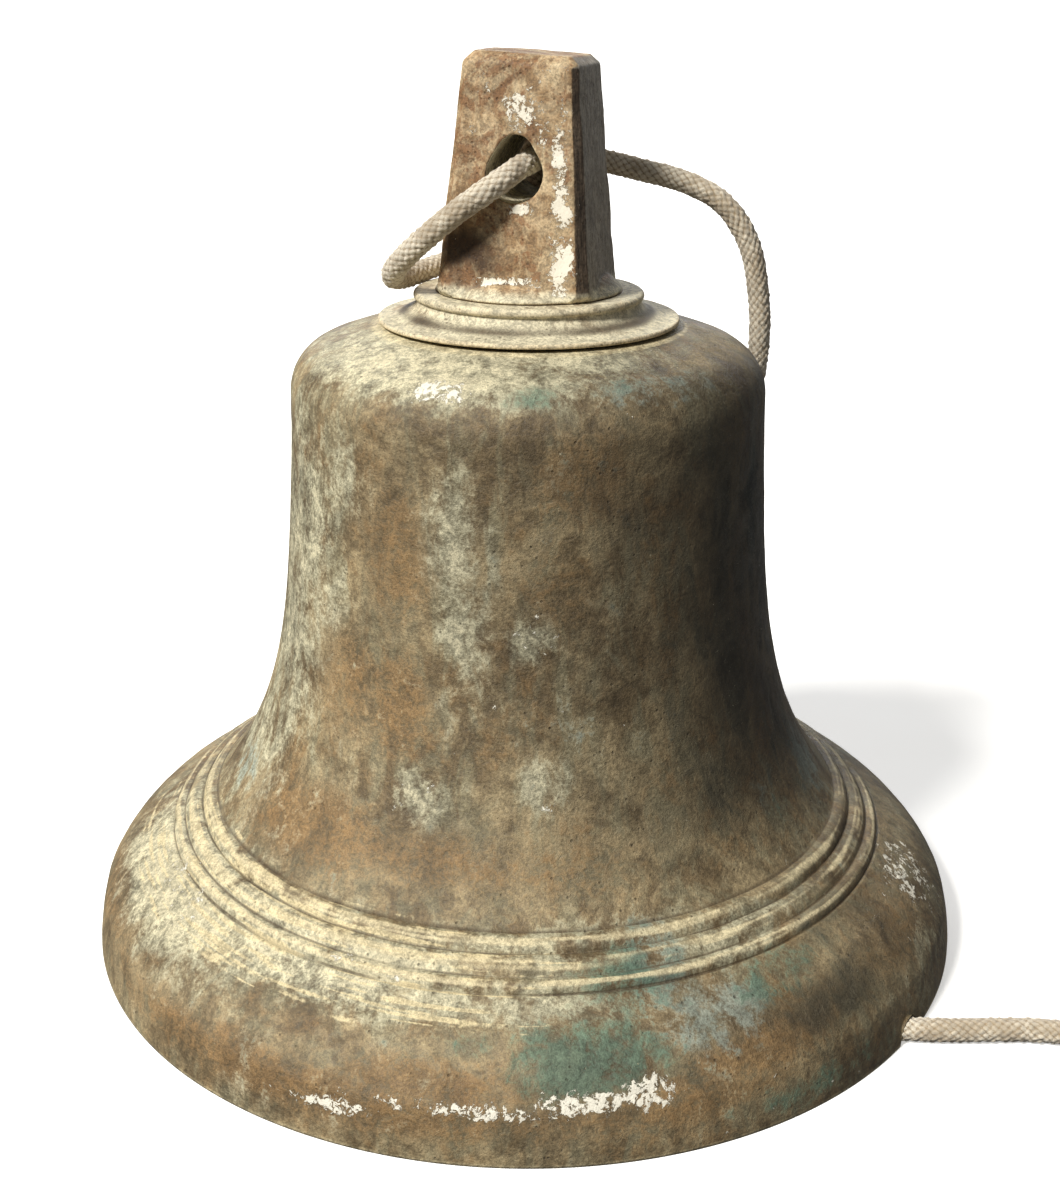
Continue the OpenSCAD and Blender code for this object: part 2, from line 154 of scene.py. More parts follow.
def set_mask(obj, name, values):
    """A value per vertex for the materials to read; it takes the place of one of the same name."""
    old = obj.data.attributes.get(name)
    if old:
        obj.data.attributes.remove(old)
    layer = obj.data.attributes.new(name, "FLOAT", "POINT")
    layer.data.foreach_set("value", np.asarray(values, dtype=np.float32))


def relief(obj, rounds=3):
    """Vertex masks of how convex (edge) and how hollow (cav) the surface is."""
    mesh = obj.data
    pairs = np.empty(len(mesh.edges) * 2, dtype=np.int32)
    mesh.edges.foreach_get("vertices", pairs)
    a, b = pairs.reshape(-1, 2).T
    n = len(mesh.vertices)
    degree = np.maximum(np.bincount(a, minlength=n) + np.bincount(b, minlength=n), 1)

    def mean(values):
        return (np.bincount(a, values[b], n) + np.bincount(b, values[a], n)) / degree

    pts = coords(mesh)
    step = np.stack([mean(pts[:, i]) for i in range(3)], 1) - pts
    bend = -(step * normals(mesh)).sum(1) / np.maximum(np.linalg.norm(pts[a] - pts[b], axis=1).mean(), 0.01)
    for _ in range(rounds):
        bend = 0.5 * bend + 0.5 * mean(bend)
    set_mask(obj, "edge", np.clip(bend * 6, 0, 1))
    set_mask(obj, "cav", np.clip(-bend * 6, 0, 1))
    return bend


def revolve(name, outline, angles):
    """An object: a closed r-z outline in mm, its outside going up, turned to the given angles in degrees."""
    outline = np.asarray(outline)
    rad = np.radians(np.asarray(angles))
    m, n = len(outline), len(rad)
    verts = np.stack([
        (outline[None, :, 0] * np.cos(rad)[:, None]).ravel(),
        (outline[None, :, 0] * np.sin(rad)[:, None]).ravel(),
        np.broadcast_to(outline[None, :, 1], (n, m)).ravel(),
    ], 1)
    ii, jj = np.meshgrid(np.arange(n), np.arange(m), indexing="ij")
    nxt, up = (ii + 1) % n, (jj + 1) % m
    faces = np.stack([ii * m + up, ii * m + jj, nxt * m + jj, nxt * m + up], -1).reshape(-1, 4)
    return mesh_from(name, verts, faces)


def resample(points, step):
    """Points at even steps along a polyline of any dimension."""
    points = np.asarray(points, dtype=float)
    lengths = np.concatenate([[0], np.cumsum(np.linalg.norm(np.diff(points, axis=0), axis=1))])
    count = max(2, int(round(lengths[-1] / step)) + 1)
    s = np.linspace(0, lengths[-1], count)
    return np.stack([np.interp(s, lengths, points[:, k]) for k in range(points.shape[1])], 1)


def take_mesh(name, node):
    """A new object with a copy of a CAD node's mesh."""
    obj = bpy.data.objects.new(name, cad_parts[node].data.copy())
    obj.data.materials.clear()
    bpy.context.scene.collection.objects.link(obj)
    return obj


def apply_modifiers(obj):
    graph = bpy.context.evaluated_depsgraph_get()
    new = bpy.data.meshes.new_from_object(obj.evaluated_get(graph))
    obj.modifiers.clear()
    old = obj.data
    obj.data = new
    bpy.data.meshes.remove(old)


# ---------------------------------------------------------------- material helpers

def rgb(*channels):
    """A screen colour of 0 to 255 per channel as the linear colour that materials take."""
    values = [c / 255 for c in channels]
    return tuple(v / 12.92 if v <= 0.04045 else ((v + 0.055) / 1.055) ** 2.4 for v in values) + (1,)


class Paint:
    """A procedural material; its coordinates are the object's own, in millimetres."""

    def __init__(self, name, roughness=0.7, metallic=0.0, specular=0.4):
        self.mat = bpy.data.materials.new(name)
        self.mat.use_nodes = True
        self.tree = self.mat.node_tree
        self.tree.nodes.clear()
        out = self.add("ShaderNodeOutputMaterial")
        self.shader = self.add("ShaderNodeBsdfPrincipled")
        self.tree.links.new(self.shader.outputs[0], out.inputs[0])
        self.shader.inputs["Roughness"].default_value = roughness
        self.shader.inputs["Metallic"].default_value = metallic
        self.shader.inputs["Specular IOR Level"].default_value = specular
        where = self.add("ShaderNodeTexCoord")
        scaled = self.add("ShaderNodeVectorMath")
        scaled.operation = "SCALE"
        self.tree.links.new(where.outputs["Object"], scaled.inputs[0])
        scaled.inputs["Scale"].default_value = 1000
        self.at = scaled.outputs[0]

    def add(self, kind):
        return self.tree.nodes.new(kind)

    def put(self, socket, value):
        if isinstance(value, bpy.types.NodeSocket):
            self.tree.links.new(value, socket)
        else:
            socket.default_value = value

    def stretch(self, factors, at=None):
        node = self.add("ShaderNodeVectorMath")
        node.operation = "MULTIPLY"
        self.put(node.inputs[0], at or self.at)
        node.inputs[1].default_value = factors
        return node.outputs[0]

    def noise(self, size, detail=4, rough=0.55, warp=0, at=None):
        node = self.add("ShaderNodeTexNoise")
        self.put(node.inputs["Vector"], at or self.at)
        node.inputs["Scale"].default_value = 1 / size
        node.inputs["Detail"].default_value = detail
        node.inputs["Roughness"].default_value = rough
        node.inputs["Distortion"].default_value = warp
        return node.outputs[0]

    def cells(self, size):
        node = self.add("ShaderNodeTexVoronoi")
        self.put(node.inputs["Vector"], self.at)
        node.inputs["Scale"].default_value = 1 / size
        return node.outputs["Distance"]

    def step(self, value, low, high, to_low=0.0, to_high=1.0):
        node = self.add("ShaderNodeMapRange")
        node.interpolation_type = "SMOOTHSTEP"
        self.put(node.inputs[0], value)
        node.inputs[1].default_value = low
        node.inputs[2].default_value = high
        node.inputs[3].default_value = to_low
        node.inputs[4].default_value = to_high
        return node.outputs[0]

    def math(self, kind, a, b=0.0):
        node = self.add("ShaderNodeMath")
        node.operation = kind
        self.put(node.inputs[0], a)
        self.put(node.inputs[1], b)
        return node.outputs[0]

    def total(self, *terms):
        """A weighted sum of (value, weight) pairs."""
        out = None
        for value, weight in terms:
            part = self.math("MULTIPLY", value, weight)
            out = part if out is None else self.math("ADD", out, part)
        return out

    def spread(self, *terms):
        """A weighted sum of noises about zero."""
        return self.math("SUBTRACT", self.total(*terms), 0.5 * sum(weight for _, weight in terms))

    def mix(self, amount, a, b):
        node = self.add("ShaderNodeMix")
        node.data_type = "RGBA"
        sockets = {s.identifier: s for s in node.inputs}
        self.put(sockets["Factor_Float"], amount)
        self.put(sockets["A_Color"], a)
        self.put(sockets["B_Color"], b)
        return {s.identifier: s for s in node.outputs}["Result_Color"]

    def shade(self, colour, value):
        """Multiplies a colour by a single value."""
        node = self.add("ShaderNodeVectorMath")
        node.operation = "SCALE"
        self.put(node.inputs[0], colour)
        self.put(node.inputs["Scale"], value)
        return node.outputs[0]

    def mask(self, name):
        node = self.add("ShaderNodeAttribute")
        node.attribute_name = name
        return node.outputs["Fac"]

    def bump(self, *layers):
        """Stacked bumps from (height, millimetres) pairs."""
        last = None
        for height, depth in layers:
            node = self.add("ShaderNodeBump")
            node.inputs["Strength"].default_value = 1
            node.inputs["Distance"].default_value = depth * MM
            self.put(node.inputs["Height"], height)
            if last is not None:
                self.put(node.inputs["Normal"], last)
            last = node.outputs[0]
        self.put(self.shader.inputs["Normal"], last)

    def finish(self, colour, roughness=None):
        self.put(self.shader.inputs["Base Color"], colour)
        if roughness is not None:
            self.put(self.shader.inputs["Roughness"], roughness)
        return self.mat


CREAM = rgb(197, 187, 155)
SAGE = rgb(166, 162, 136)
OLIVE = rgb(134, 127, 100)
TAN = rgb(152, 135, 102)
UMBER = rgb(108, 92, 66)
RUST = rgb(126, 99, 64)
DARK = rgb(62, 57, 44)
TEAL = rgb(88, 113, 95)
STEEL = rgb(134, 142, 130)
WHITE = rgb(232, 226, 208)


def patina_paint(name):
    """Weathered bell bronze. The vertex masks say where each kind of patina gathers; some also paint light and
    shade: lighter toward the key light and darker away from it, highlights on the bead crests and the lip's
    brush marks, and shade in the broad dark patch.
    """
    p = Paint(name, specular=0.35)
    broad = p.noise(34, 5, 0.6, 0.6)
    patch = p.noise(11, 7, 0.66, 0.8)
    small = p.noise(3.4, 7, 0.68, 0.5)
    grain = p.noise(0.9, 4, 0.7)
    fine = p.noise(0.35, 2, 0.6)
    drips = p.noise(9, 7, 0.66, 0.7, p.stretch((1, 1, 0.28)))
    ragged = p.spread((patch, 1.9), (small, 1.3), (drips, 1.5), (grain, 0.8))

    def layer(mask, under, over, low, high, most, reach=1.0):
        where = p.math("ADD", p.math("MULTIPLY", p.mask(mask), reach), ragged)
        return p.mix(p.step(where, low, high, 0, most), under, over)

    colour = p.mix(p.step(p.total((broad, 0.5), (patch, 0.5)), 0.42, 0.58), UMBER, TAN)
    colour = p.mix(p.step(drips, 0.44, 0.60, 0, 0.6), colour, OLIVE)
    warm = p.noise(21, 6, 0.66, 1.0, p.stretch((0.9, 1.1, 0.7)))
    colour = p.mix(p.step(p.spread((warm, 1.6), (small, 0.9)), 0.02, 0.34, 0, 0.6), colour, RUST)
    colour = layer("rust", colour, RUST, 0.25, 0.90, 0.85)
    colour = layer("pale", colour, SAGE, 0.15, 0.85, 0.8)
    colour = layer("pale", colour, CREAM, 0.55, 1.15, 0.85)
    colour = layer("steel", colour, STEEL, 0.45, 1.0, 0.8)
    colour = layer("teal", colour, TEAL, 0.45, 1.1, 0.8)
    # the dark mask: dark patina, and in its broad patch also painted shade on the side away from the key light
    colour = layer("dark", colour, DARK, 0.35, 1.15, 0.85)
    # painted light and shade: lighter toward the key light and darker away from it, partly real darker patina
    colour = p.shade(colour, p.mask("painted_shade_and_tone"))
    stain = p.noise(17, 6, 0.68, 1.2, p.stretch((1, 1, 0.5)))
    colour = p.shade(colour, p.step(stain, 0.34, 0.60, 0.74, 1.10))

    # the edge mask: worn edges, and painted highlights on the bead crests
    worn = p.step(p.total((p.mask("edge"), 0.9), (small, 0.5)), 0.45, 1.0)
    colour = p.mix(p.math("MULTIPLY", worn, 0.75), colour, rgb(208, 193, 154))
    # brush marks on the lip, lighter toward the key light: partly real brushing, partly painted light
    brush = p.step(p.math("ADD", p.mask("brush"), p.spread((small, 0.8))), 0.55, 0.75)
    colour = p.mix(p.math("MULTIPLY", brush, 0.8), colour, rgb(203, 187, 146))
    hollow = p.math("ADD", p.mask("cav"), p.spread((small, 1.2), (grain, 0.6)))
    colour = p.mix(p.step(hollow, 0.30, 0.85, 0, 0.72), colour, rgb(70, 56, 38))

    colour = p.shade(colour, p.step(p.spread((small, 1.0), (grain, 1.0)), -0.2, 0.2, 0.70, 1.28))
    colour = p.shade(colour, p.step(fine, 0.3, 0.7, 0.82, 1.16))
    pits = p.step(p.cells(2.6), 0.08, 0.20, 1, 0)
    pits = p.math("MULTIPLY", pits, p.step(patch, 0.50, 0.60))
    colour = p.mix(p.math("MULTIPLY", pits, 0.6), colour, rgb(54, 45, 32))
    # pale flecks: partly pale chips in the patina, partly painted glints
    flecks = p.step(p.noise(1.7, 5, 0.78, 0.9, p.stretch((1, 1, 1.7))), 0.62, 0.68)
    flecks = p.math("MULTIPLY", flecks, p.step(drips, 0.46, 0.58))
    colour = p.mix(p.math("MULTIPLY", flecks, 0.6), colour, rgb(204, 194, 162))

    chips = p.noise(2.1, 7, 0.72, 0.9)
    crumbs = p.noise(6.5, 5, 0.7, 0.6)
    flake = p.math("MULTIPLY", p.mask("flake"), 0.62)
    flake = p.step(p.math("ADD", flake, p.spread((chips, 2.0), (crumbs, 1.6))), 0.54, 0.62)
    colour = p.mix(p.math("MULTIPLY", flake, 0.95), colour, WHITE)

    rough = p.step(p.total((patch, 0.5), (grain, 0.5)), 0.3, 0.7, 0.42, 0.74)
    p.bump((broad, 0.5), (small, 0.55), (grain, 0.24), (fine, 0.06),
           (flake, 0.12), (pits, -0.18), (flecks, 0.08))
    return p.finish(colour, rough)


def crown_paint(name):
    """The post and collar: tan bronze with brown stains, file marks and chalky white flakes; on the post the
    masks also paint shade on the faces and chamfer turned from the key light, the rope's shadow, and light in
    the hanger hole.
    """
    p = Paint(name, specular=0.35)
    patch = p.noise(8, 6, 0.62, 0.7)
    small = p.noise(2.6, 6, 0.66, 0.4)
    grain = p.noise(0.7, 4, 0.7)
    files = p.noise(0.9, 4, 0.6, 0.3, p.stretch((1, 1, 0.07)))
    stains = p.noise(15, 5, 0.6, 0.9)
    runs = p.noise(5, 6, 0.7, 0.5, p.stretch((1, 1, 0.35)))
    colour = p.mix(p.step(patch, 0.42, 0.58), rgb(146, 118, 84), rgb(184, 160, 124))
    brown = p.step(p.spread((stains, 1.5), (small, 1.2)), -0.06, 0.12, 0, 0.85)
    colour = p.mix(brown, colour, rgb(120, 86, 56))
    light = p.step(p.spread((runs, 2.0), (small, 1.0)), 0.05, 0.35, 0, 0.6)
    colour = p.mix(light, colour, rgb(196, 178, 142))
    # on the post the grey mask also carries painted shade on the faces turned from the key light
    grey = p.step(p.total((p.mask("grey"), 0.8), (small, 0.4)), 0.4, 0.95)
    colour = p.mix(p.math("MULTIPLY", grey, 0.9), colour, rgb(136, 129, 116))
    # the pale mask also paints light on the inner wall of the post's hanger hole
    chalk = p.step(p.total((p.mask("pale"), 0.9), (patch, 0.6), (small, 0.4)), 0.72, 1.15, 0, 0.9)
    colour = p.mix(chalk, colour, rgb(200, 192, 164))
    # the cav mask darkens hollows and the collar's cove; on the post it also carries painted shade on the
    # front-right chamfer and the rope's painted shadow
    dirt = p.step(p.total((p.mask("cav"), 1.0), (small, 0.3)), 0.28, 0.7, 0, 0.9)
    colour = p.mix(dirt, colour, rgb(58, 44, 30))
    worn = p.step(p.total((p.mask("edge"), 0.8), (small, 0.5)), 0.5, 0.9, 0, 0.4)
    colour = p.mix(worn, colour, rgb(206, 180, 138))
    colour = p.shade(colour, p.step(p.spread((small, 1.0), (grain, 1.0)), -0.2, 0.2, 0.60, 1.34))
    marks = p.math("MULTIPLY", p.step(files, 0.35, 0.65), p.mask("grey"))
    colour = p.shade(colour, p.step(marks, 0, 1, 1.0, 1.35))
    dots = p.math("MULTIPLY", p.step(p.cells(1.7), 0.12, 0.28, 1, 0), p.step(stains, 0.44, 0.56))
    colour = p.mix(p.math("MULTIPLY", dots, 0.6), colour, rgb(74, 54, 36))
    chips = p.noise(1.3, 7, 0.75, 0.6)
    crumbs = p.noise(4.5, 6, 0.7, 0.7)
    flake = p.math("ADD", p.mask("flake"), p.spread((chips, 2.2), (crumbs, 1.8)))
    flake = p.step(flake, 0.60, 0.70)
    colour = p.mix(p.math("MULTIPLY", flake, 0.95), colour, rgb(236, 228, 208))
    rough = p.step(grain, 0.3, 0.7, 0.5, 0.8)
    p.bump((patch, 0.3), (small, 0.25), (grain, 0.1), (marks, 0.12), (flake, 0.14), (dots, -0.12))
    return p.finish(colour, rough)


def metal_paint(name, base, stain, bright, metallic=0.6, shine=0.45):
    """Plain small parts: dull metal with rust or tarnish stains and a rubbed finish."""
    p = Paint(name, metallic=metallic)
    patch = p.noise(6, 6, 0.65, 0.6)
    small = p.noise(1.6, 5, 0.65)
    grain = p.noise(0.4, 3, 0.7)
    colour = p.mix(p.step(patch, 0.42, 0.6), base, stain)
    colour = p.mix(p.step(small, 0.58, 0.7, 0, 0.6), colour, bright)
    colour = p.shade(colour, p.step(p.total((small, 0.5), (grain, 0.5)), 0.25, 0.75, 0.6, 1.3))
    rough = p.step(p.total((patch, 0.6), (grain, 0.4)), 0.3, 0.7, shine, shine + 0.35)
    p.bump((patch, 0.15), (small, 0.12), (grain, 0.05))
    return p.finish(colour, rough)


def cotton_paint(name, light, shadow):
    """Braided cotton: the strands' masks darken their gaps, with loose fibres over them."""
    p = Paint(name, roughness=0.95, specular=0.15)
    p.shader.inputs["Sheen Weight"].default_value = 0.35
    p.shader.inputs["Sheen Roughness"].default_value = 0.6
    uv = p.add("ShaderNodeUVMap")
    uv.uv_map = "along"
    fibre = p.noise(1.0, 4, 0.7, 0.6, p.stretch((90, 900, 1), uv.outputs[0]))
    fuzz = p.noise(0.28, 4, 0.75, 0.8)
    dirt = p.noise(12, 5, 0.6, 0.5)
    colour = p.mix(p.step(p.total((p.mask("strand"), 0.6), (fuzz, 0.7)), 0.34, 0.80), shadow, light)
    colour = p.shade(colour, p.step(fibre, 0.3, 0.7, 0.86, 1.08))
    colour = p.mix(p.step(dirt, 0.44, 0.62, 0, 0.55), colour, rgb(156, 134, 102))
    colour = p.shade(colour, p.step(fuzz, 0.3, 0.7, 0.86, 1.08))
    p.bump((fibre, 0.14), (fuzz, 0.3), (p.noise(0.12, 3, 0.7), 0.1))
    return p.finish(colour)


# ---------------------------------------------------------------- the rope

TABLE_Z = 3.6
ROUTE = [
    (-3, 31, 236), (-5, 32.5, 226), (-11, 32, 216.5), (-21, 27, 209.8), (-31, 17, 207), (-37.5, 2, 205.3),
    (-38.8, -9, 206.2), (-35, -18.5, 211), (-26, -24, 219), (-15, -26, 227.8), (-5, -23.2, 235),
    (1, -14.5, 239.8), (2.5, -2, 241), (1.5, 17, 240), (4.5, 29, 239), (13, 36.2, 237.4), (25, 39, 234.6),
    (38, 40.5, 231.5), (50.5, 42, 225.5), (59, 44, 214), (63, 46, 198), (64, 48, 178), (61, 53, 158),
    (56.5, 57, 134), (51, 63.5, 106), (47, 76, 80), (42.5, 92.5, 57), (37.5, 110, 43.5), (31.5, 131, 27.5),
    (25, 148, 13.5), (14, 166, 4.5), (-1, 180, TABLE_Z), (-21, 183, TABLE_Z), (-35.5, 172, TABLE_Z),
    (-38, 147, TABLE_Z), (-32, 116, TABLE_Z), (-18, 68, TABLE_Z), (10, 13, TABLE_Z), (52, -34, TABLE_Z),
    (104, -58, TABLE_Z), (134, -54, TABLE_Z), (168, -46, TABLE_Z), (192, -45, TABLE_Z), (214, -43.5, TABLE_Z),
    (226, -41.2, TABLE_Z),
]
COIL = (228.0, 2.0)
COIL_R = 38.0


def eased_line(points, step):
    """The smooth curve through the points, with headings weighted by the gaps between them."""
    p = np.asarray(points, dtype=float)
    gaps = np.linalg.norm(np.diff(p, axis=0), axis=1)
    head = np.zeros_like(p)
    head[0] = (p[1] - p[0]) / gaps[0]
    head[-1] = (p[-1] - p[-2]) / gaps[-1]
    for i in range(1, len(p) - 1):
        g0, g1 = gaps[i - 1], gaps[i]
        head[i] = ((p[i + 1] - p[i]) * g0 / g1 + (p[i] - p[i - 1]) * g1 / g0) / (g0 + g1)
    out = []
    for i, g in enumerate(gaps):
        for t in np.linspace(0, 1, max(2, int(g / step)), endpoint=False):
            out.append((2 * t**3 - 3 * t**2 + 1) * p[i] + (t**3 - 2 * t**2 + t) * g * head[i]
                       + (3 * t**2 - 2 * t**3) * p[i + 1] + (t**3 - t**2) * g * head[i + 1])
    out.append(p[-1])
    return np.array(out)


def coil_points():
    """Two turns side by side on the floor, then one on top of them."""
    out = []
    for angle in np.arange(-77.0, 948.1, 12.5):
        radius = 41.5 - 7 * smooth(angle, 238, 283) + 3.5 * smooth(angle, 545, 600)
        height = TABLE_Z + 6.06 * smooth(angle, 545, 600)
        a = math.radians(angle)
        out.append((COIL[0] + radius * math.cos(a), COIL[1] + radius * math.sin(a), height))
    return out


def side_vectors(path):
    """Two unit vectors across the path at each of its even points, with no twist."""
    t = np.gradient(path, axis=0)
    t /= np.linalg.norm(t, axis=1)[:, None]
    u = np.zeros_like(path)
    side = np.array([1.0, 0.2, 0.0])
    for i in range(len(path)):
        side = side - (side @ t[i]) * t[i]
        side /= np.linalg.norm(side)
        u[i] = side
    v = np.cross(t, u)
    return u, v


def rope_mesh(name, points, radius, step=0.45, sides=64, strands=9, pitch=24.0, lump=0.42,
              taper_start=0, taper_end=0):
    """A braided rope: two crossing sets of strands, over and under each other by turns."""
    path = resample(points, step)
    n = len(path)
    u, v = side_vectors(path)
    s = np.arange(n) * step
    a = np.arange(sides) / sides
    uneven = [0.3 * lattice(path, 3.2, seed)[:, None] for seed in (7, 8)]
    right = strands * a[None, :] + s[:, None] * strands / pitch + uneven[0]
    left = strands * a[None, :] - s[:, None] * strands / pitch + uneven[1]
    over = (np.floor(right) + np.floor(left)) % 2 == 0
    fr, fl = right % 1, left % 1
    across = np.where(over, fr, fl)
    run = np.where(over, fl, fr)
    crown = 1 - (2 * across - 1) ** 2
    lift = 0.45 + 0.55 * (1 - (2 * run - 1) ** 2)
    height = crown * lift
    wobble = lattice(path, 9, 5) * 0.07
    s_all, a_all = np.repeat(s, sides), np.tile(a, n)
    loose = lattice(np.stack([s_all, 22 * a_all, np.zeros(n * sides)], 1), 1.1, 6).reshape(n, sides)
    r = radius - lump + lump * height + wobble[:, None] + 0.24 * loose * min(1, radius / 3)
    if taper_start:
        r = r * np.sqrt(np.clip(s / taper_start, 0.02, 1))[:, None]
    if taper_end:
        r = r * np.sqrt(np.clip((s[-1] - s) / taper_end, 0.02, 1))[:, None]
    cos, sin = np.cos(2 * math.pi * a)[None, :, None], np.sin(2 * math.pi * a)[None, :, None]
    verts = (path[:, None, :] + r[:, :, None] * (cos * u[:, None, :] + sin * v[:, None, :])).reshape(-1, 3)
    ii, jj = np.meshgrid(np.arange(n - 1), np.arange(sides), indexing="ij")
    nx = (jj + 1) % sides
    here, there = ii * sides, (ii + 1) * sides
    faces = np.stack([here + jj, here + nx, there + nx, there + jj], -1).reshape(-1, 4)
    verts = np.concatenate([verts, path[:1], path[-1:]])
    k = np.arange(sides)
    first = np.stack([np.full(sides, n * sides), (k + 1) % sides, k], 1)
    last = np.stack([np.full(sides, n * sides + 1), (n - 1) * sides + k, (n - 1) * sides + (k + 1) % sides], 1)
    obj = tube_object(name, verts, faces, np.concatenate([first, last]))
    set_mask(obj, "strand", np.concatenate([height.ravel(), [0.3, 0.3]]))
    put_uv(obj, np.concatenate([np.stack([s_all * MM, a_all * 0.022], 1), [[0, 0], [s[-1] * MM, 0]]]))
    return obj, path


def tube_object(name, verts, quads, tris):
    mesh = bpy.data.meshes.new(name)
    mesh.from_pydata((verts * MM).tolist(), [], quads.tolist() + tris.tolist())
    mesh.polygons.foreach_set("use_smooth", np.ones(len(mesh.polygons), dtype=bool))
    obj = bpy.data.objects.new(name, mesh)
    bpy.context.scene.collection.objects.link(obj)
    return obj


def put_uv(obj, per_vertex):
    """The UV map "along": metres along the rope and round it."""
    layer = obj.data.uv_layers.new(name="along")
    index = np.empty(len(obj.data.loops), dtype=np.int32)
    obj.data.loops.foreach_get("vertex_index", index)
    layer.data.foreach_set("uv", per_vertex[index].astype(np.float32).ravel())


cotton = cotton_paint("braided_cotton", rgb(234, 222, 198), rgb(158, 134, 100))
cotton_dull = cotton_paint("knot_cotton", rgb(220, 207, 180), rgb(144, 124, 94))
twine_paint = cotton_paint("waxed_twine", rgb(178, 158, 120), rgb(96, 80, 56))

main_line = np.concatenate([eased_line(ROUTE, 2.0), np.array(coil_points())])
main_line = eased_line(resample(main_line, 6.0), 1.5)
rope, rope_path = rope_mesh("rope_braid", main_line, 3.5, taper_end=1.5)
rope.data.materials.append(cotton)
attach(rope, "bell")
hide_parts("rope", "rope_coil")


def knot_points():
    """Two turns round the standing rope and a short tail, all close behind the post."""
    tail = [(-13, 27.5, 227.5), (-9, 26.0, 229.6), (-4.5, 24.9, 231.4)]
    wraps = []
    for angle in np.arange(-90.0, 540.1, 15):
        a = math.radians(angle)
        second = float(smooth(angle, 180, 270))
        turn = 8.0 - second
        wraps.append((2.0 + 2.0 * second + turn * math.cos(a), 24.7 + 6.5 * second,
                      240.0 - second + turn * math.sin(a)))
    return tail + wraps + [(-3, 31.1, 237.2)]


knot, _ = rope_mesh("noose_knot", eased_line(knot_points(), 1.0), 3.5, sides=48, taper_start=1.2)
knot.data.materials.append(cotton_dull)
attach(knot, "bell")
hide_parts("rope_knot")


def twine_turns(name, angle, height, loops, pitch, outline, gauge):
    """Thin twine wound round the coil at an angle about its centre; outline gives a loop's shape."""
    steps = 40
    pts = []
    for i in range(int(loops * steps) + 1):
        f = i / steps
        pts.append((*outline(2 * math.pi * f), (f - loops / 2) * pitch))
    out, up, along = np.array(pts).T
    a = math.radians(angle)
    line = np.stack([
        COIL[0] + COIL_R * math.cos(a) + out * math.cos(a) - along * math.sin(a),
        COIL[1] + COIL_R * math.sin(a) + out * math.sin(a) + along * math.cos(a),
        height + up,
    ], 1)
    obj, _ = rope_mesh(name, line, gauge, step=0.3, sides=14, strands=3, pitch=3.6, lump=0.16,
                       taper_start=0.6, taper_end=0.6)
    obj.data.materials.append(twine_paint)
    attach(obj, "bell")
    return obj


def coil_section(t):
    """A rounded triangle round the two lower turns and the upper one, 0.05 mm clear of the floor."""
    k = max(0.0, math.sin(t))
    w = 7.75 * math.cos(t) * (1 - 0.28 * k)
    h = 7.0 * math.sin(t) if math.sin(t) > 0 else 6.35 * math.sin(t)
    return w, h


def end_section(t):
    """A circle on the rope's surface, for the whipping."""
    return 3.45 * math.cos(t), 3.45 * math.sin(t)


tie = twine_turns("coil_tie_twine", 60, 7.2, 6, 1.35, coil_section, 0.72)
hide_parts("coil_tie")
whip = twine_turns("rope_end_whipping", -141, 9.8, 9, 1.2, end_section, 0.55)
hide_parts("rope_whipping")


# ---------------------------------------------------------------- bell shell

def arc(cx, cz, r, a0, a1, n):
    """Points of an arc between two angles in degrees."""
    t = np.radians(np.linspace(a0, a1, n))
    return np.stack([cx + r * np.cos(t), cz + r * np.sin(t)], 1)


def ray(degrees):
    a = math.radians(degrees)
    return np.array([math.cos(a), math.sin(a)])


BORE_R = 9.8
SEAT_Z, COLLAR_Z, POST_Z = 193.4, 194.4, 203.3
HEAD_UNDER = 184.4
LIP_R, BOW_R = 62.0, 43.0
LIP_C = np.array([140, 0]) - LIP_R * ray(3.5)
LIP_TOP = LIP_C + LIP_R * ray(17.6)
BOW_C = LIP_TOP - BOW_R * ray(28)
BOW_TOP = BOW_C + BOW_R * ray(56)
OUT = ray(56)
UP = np.array([-OUT[1], OUT[0]])
BELT = BOW_TOP + np.array([-0.5, 0.2])
FLARE = BELT + 27.0 * UP


def outer_r(z):
    """Outer radius without the mouldings."""
    z = np.asarray(z, dtype=float)
    lip = LIP_C[0] + np.sqrt(np.maximum(LIP_R**2 - (z - LIP_C[1])**2, 0))
    bow = BOW_C[0] + np.sqrt(np.maximum(BOW_R**2 - (z - BOW_C[1])**2, 0))
    band = BOW_TOP[0] - (z - BOW_TOP[1]) * (BOW_TOP[0] - FLARE[0]) / (FLARE[1] - BOW_TOP[1])
    waist = 71.2 + (FLARE[0] - 71.2) * np.exp(-(z - FLARE[1]) / 33.5) - 0.63 * smooth(z, 120, 174)
    return np.where(z < LIP_TOP[1], lip, np.where(z < BOW_TOP[1], bow, np.where(z < FLARE[1], band, waist)))


